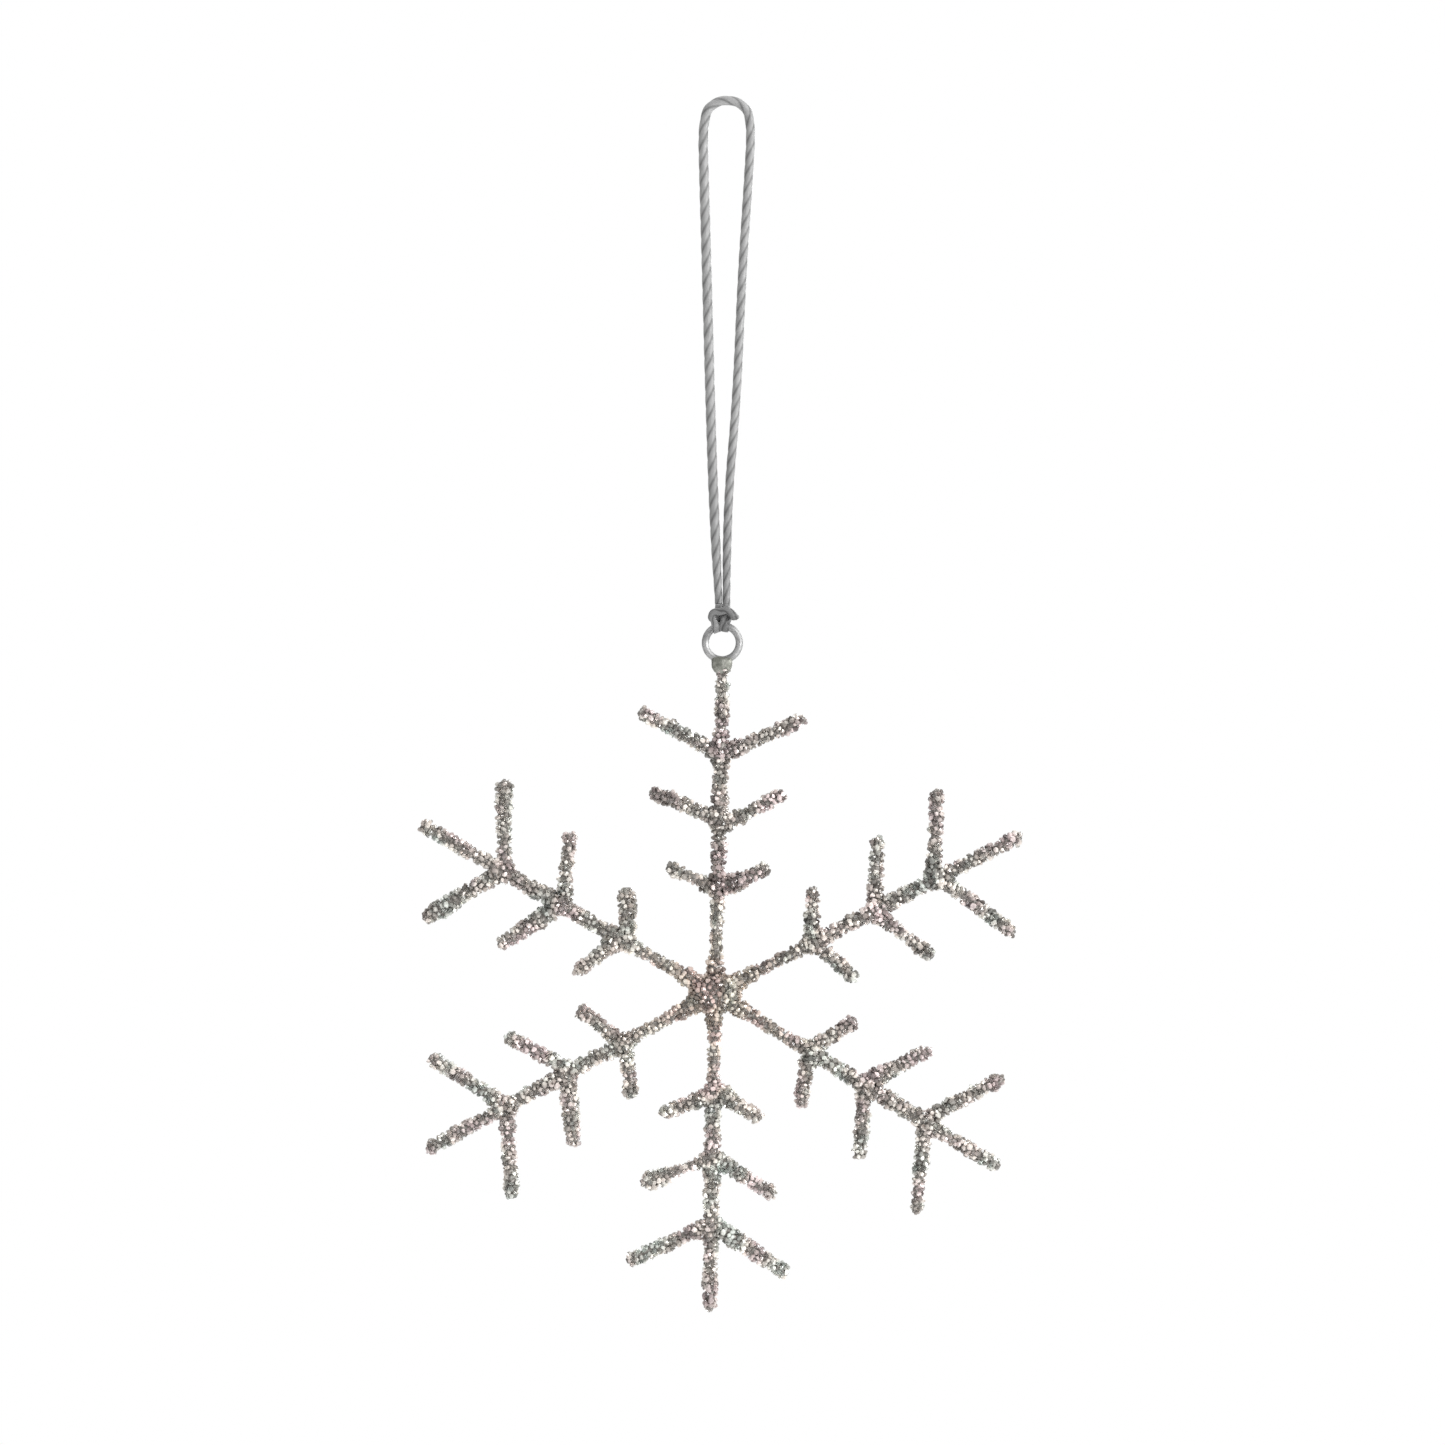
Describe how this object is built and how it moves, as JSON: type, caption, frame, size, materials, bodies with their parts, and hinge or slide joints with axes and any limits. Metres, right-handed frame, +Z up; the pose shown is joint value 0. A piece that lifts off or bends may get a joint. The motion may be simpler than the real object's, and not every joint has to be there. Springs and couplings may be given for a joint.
{
  "type": "snowflake ornament",
  "caption": "Hanging snowflake ornament: a flat wire star with forked arms under a coarse sparkling grain coat, a bare ring on top and a twisted cord loop.",
  "frame": {"origin": "inside top of the cord loop, where a hook carries the ornament", "axes": "+Z up along the hanging cord; the snowflake lies in the XZ plane with its front facing -Y and +X to the viewer's right"},
  "size_m": [0.0997, 0.0054, 0.2004],
  "materials": {
    "grain_coat": "coarse glass grains in clear glue, silvery champagne",
    "core_wire": "drawn steel wire",
    "braze": "dull silver braze",
    "ring_wire": "bright bare wire",
    "cord": "twisted silver-grey metallic cord"
  },
  "bodies": {
    "hanger": {"cord_loop": "cord"},
    "hitch": {"cord_knot": "cord"},
    "snowflake": {"arm_coat_top": "grain_coat", "arm_coat_upper_right": "grain_coat", "arm_coat_lower_right": "grain_coat", "arm_coat_bottom": "grain_coat", "arm_coat_lower_left": "grain_coat", "arm_coat_upper_left": "grain_coat", "barb_coats_top_inner": "grain_coat", "barb_coats_top_middle": "grain_coat", "barb_coats_top_outer": "grain_coat", "barb_coats_upper_right_inner": "grain_coat", "barb_coats_upper_right_middle": "grain_coat", "barb_coats_upper_right_outer": "grain_coat", "barb_coats_lower_right_inner": "grain_coat", "barb_coats_lower_right_middle": "grain_coat", "barb_coats_lower_right_outer": "grain_coat", "barb_coats_bottom_inner": "grain_coat", "barb_coats_bottom_middle": "grain_coat", "barb_coats_bottom_outer": "grain_coat", "barb_coats_lower_left_inner": "grain_coat", "barb_coats_lower_left_middle": "grain_coat", "barb_coats_lower_left_outer": "grain_coat", "barb_coats_upper_left_inner": "grain_coat", "barb_coats_upper_left_middle": "grain_coat", "barb_coats_upper_left_outer": "grain_coat", "hub_coat": "grain_coat", "arm_wire_top": "core_wire", "arm_wire_upper_right": "core_wire", "arm_wire_lower_right": "core_wire", "arm_wire_bottom": "core_wire", "arm_wire_lower_left": "core_wire", "arm_wire_upper_left": "core_wire", "barb_wires_top_inner": "core_wire", "barb_wires_top_middle": "core_wire", "barb_wires_top_outer": "core_wire", "barb_wires_upper_right_inner": "core_wire", "barb_wires_upper_right_middle": "core_wire", "barb_wires_upper_right_outer": "core_wire", "barb_wires_lower_right_inner": "core_wire", "barb_wires_lower_right_middle": "core_wire", "barb_wires_lower_right_outer": "core_wire", "barb_wires_bottom_inner": "core_wire", "barb_wires_bottom_middle": "core_wire", "barb_wires_bottom_outer": "core_wire", "barb_wires_lower_left_inner": "core_wire", "barb_wires_lower_left_middle": "core_wire", "barb_wires_lower_left_outer": "core_wire", "barb_wires_upper_left_inner": "core_wire", "barb_wires_upper_left_middle": "core_wire", "barb_wires_upper_left_outer": "core_wire", "hub_core": "braze", "ring_collar": "braze", "hanger_ring": "ring_wire"}
  },
  "joints": [
    {"name": "cord_twist", "type": "hinge", "parent": "hanger", "child": "hitch", "pos_m": [0.001, 0, -0.08239], "axis": [0, 0, 1], "range_deg": [-180, 180]},
    {"name": "ring_swing", "type": "hinge", "parent": "hitch", "child": "snowflake", "pos_m": [0.001, 0, -0.08589], "axis": [1, 0, 0], "range_deg": [-90, 90]}
  ]
}
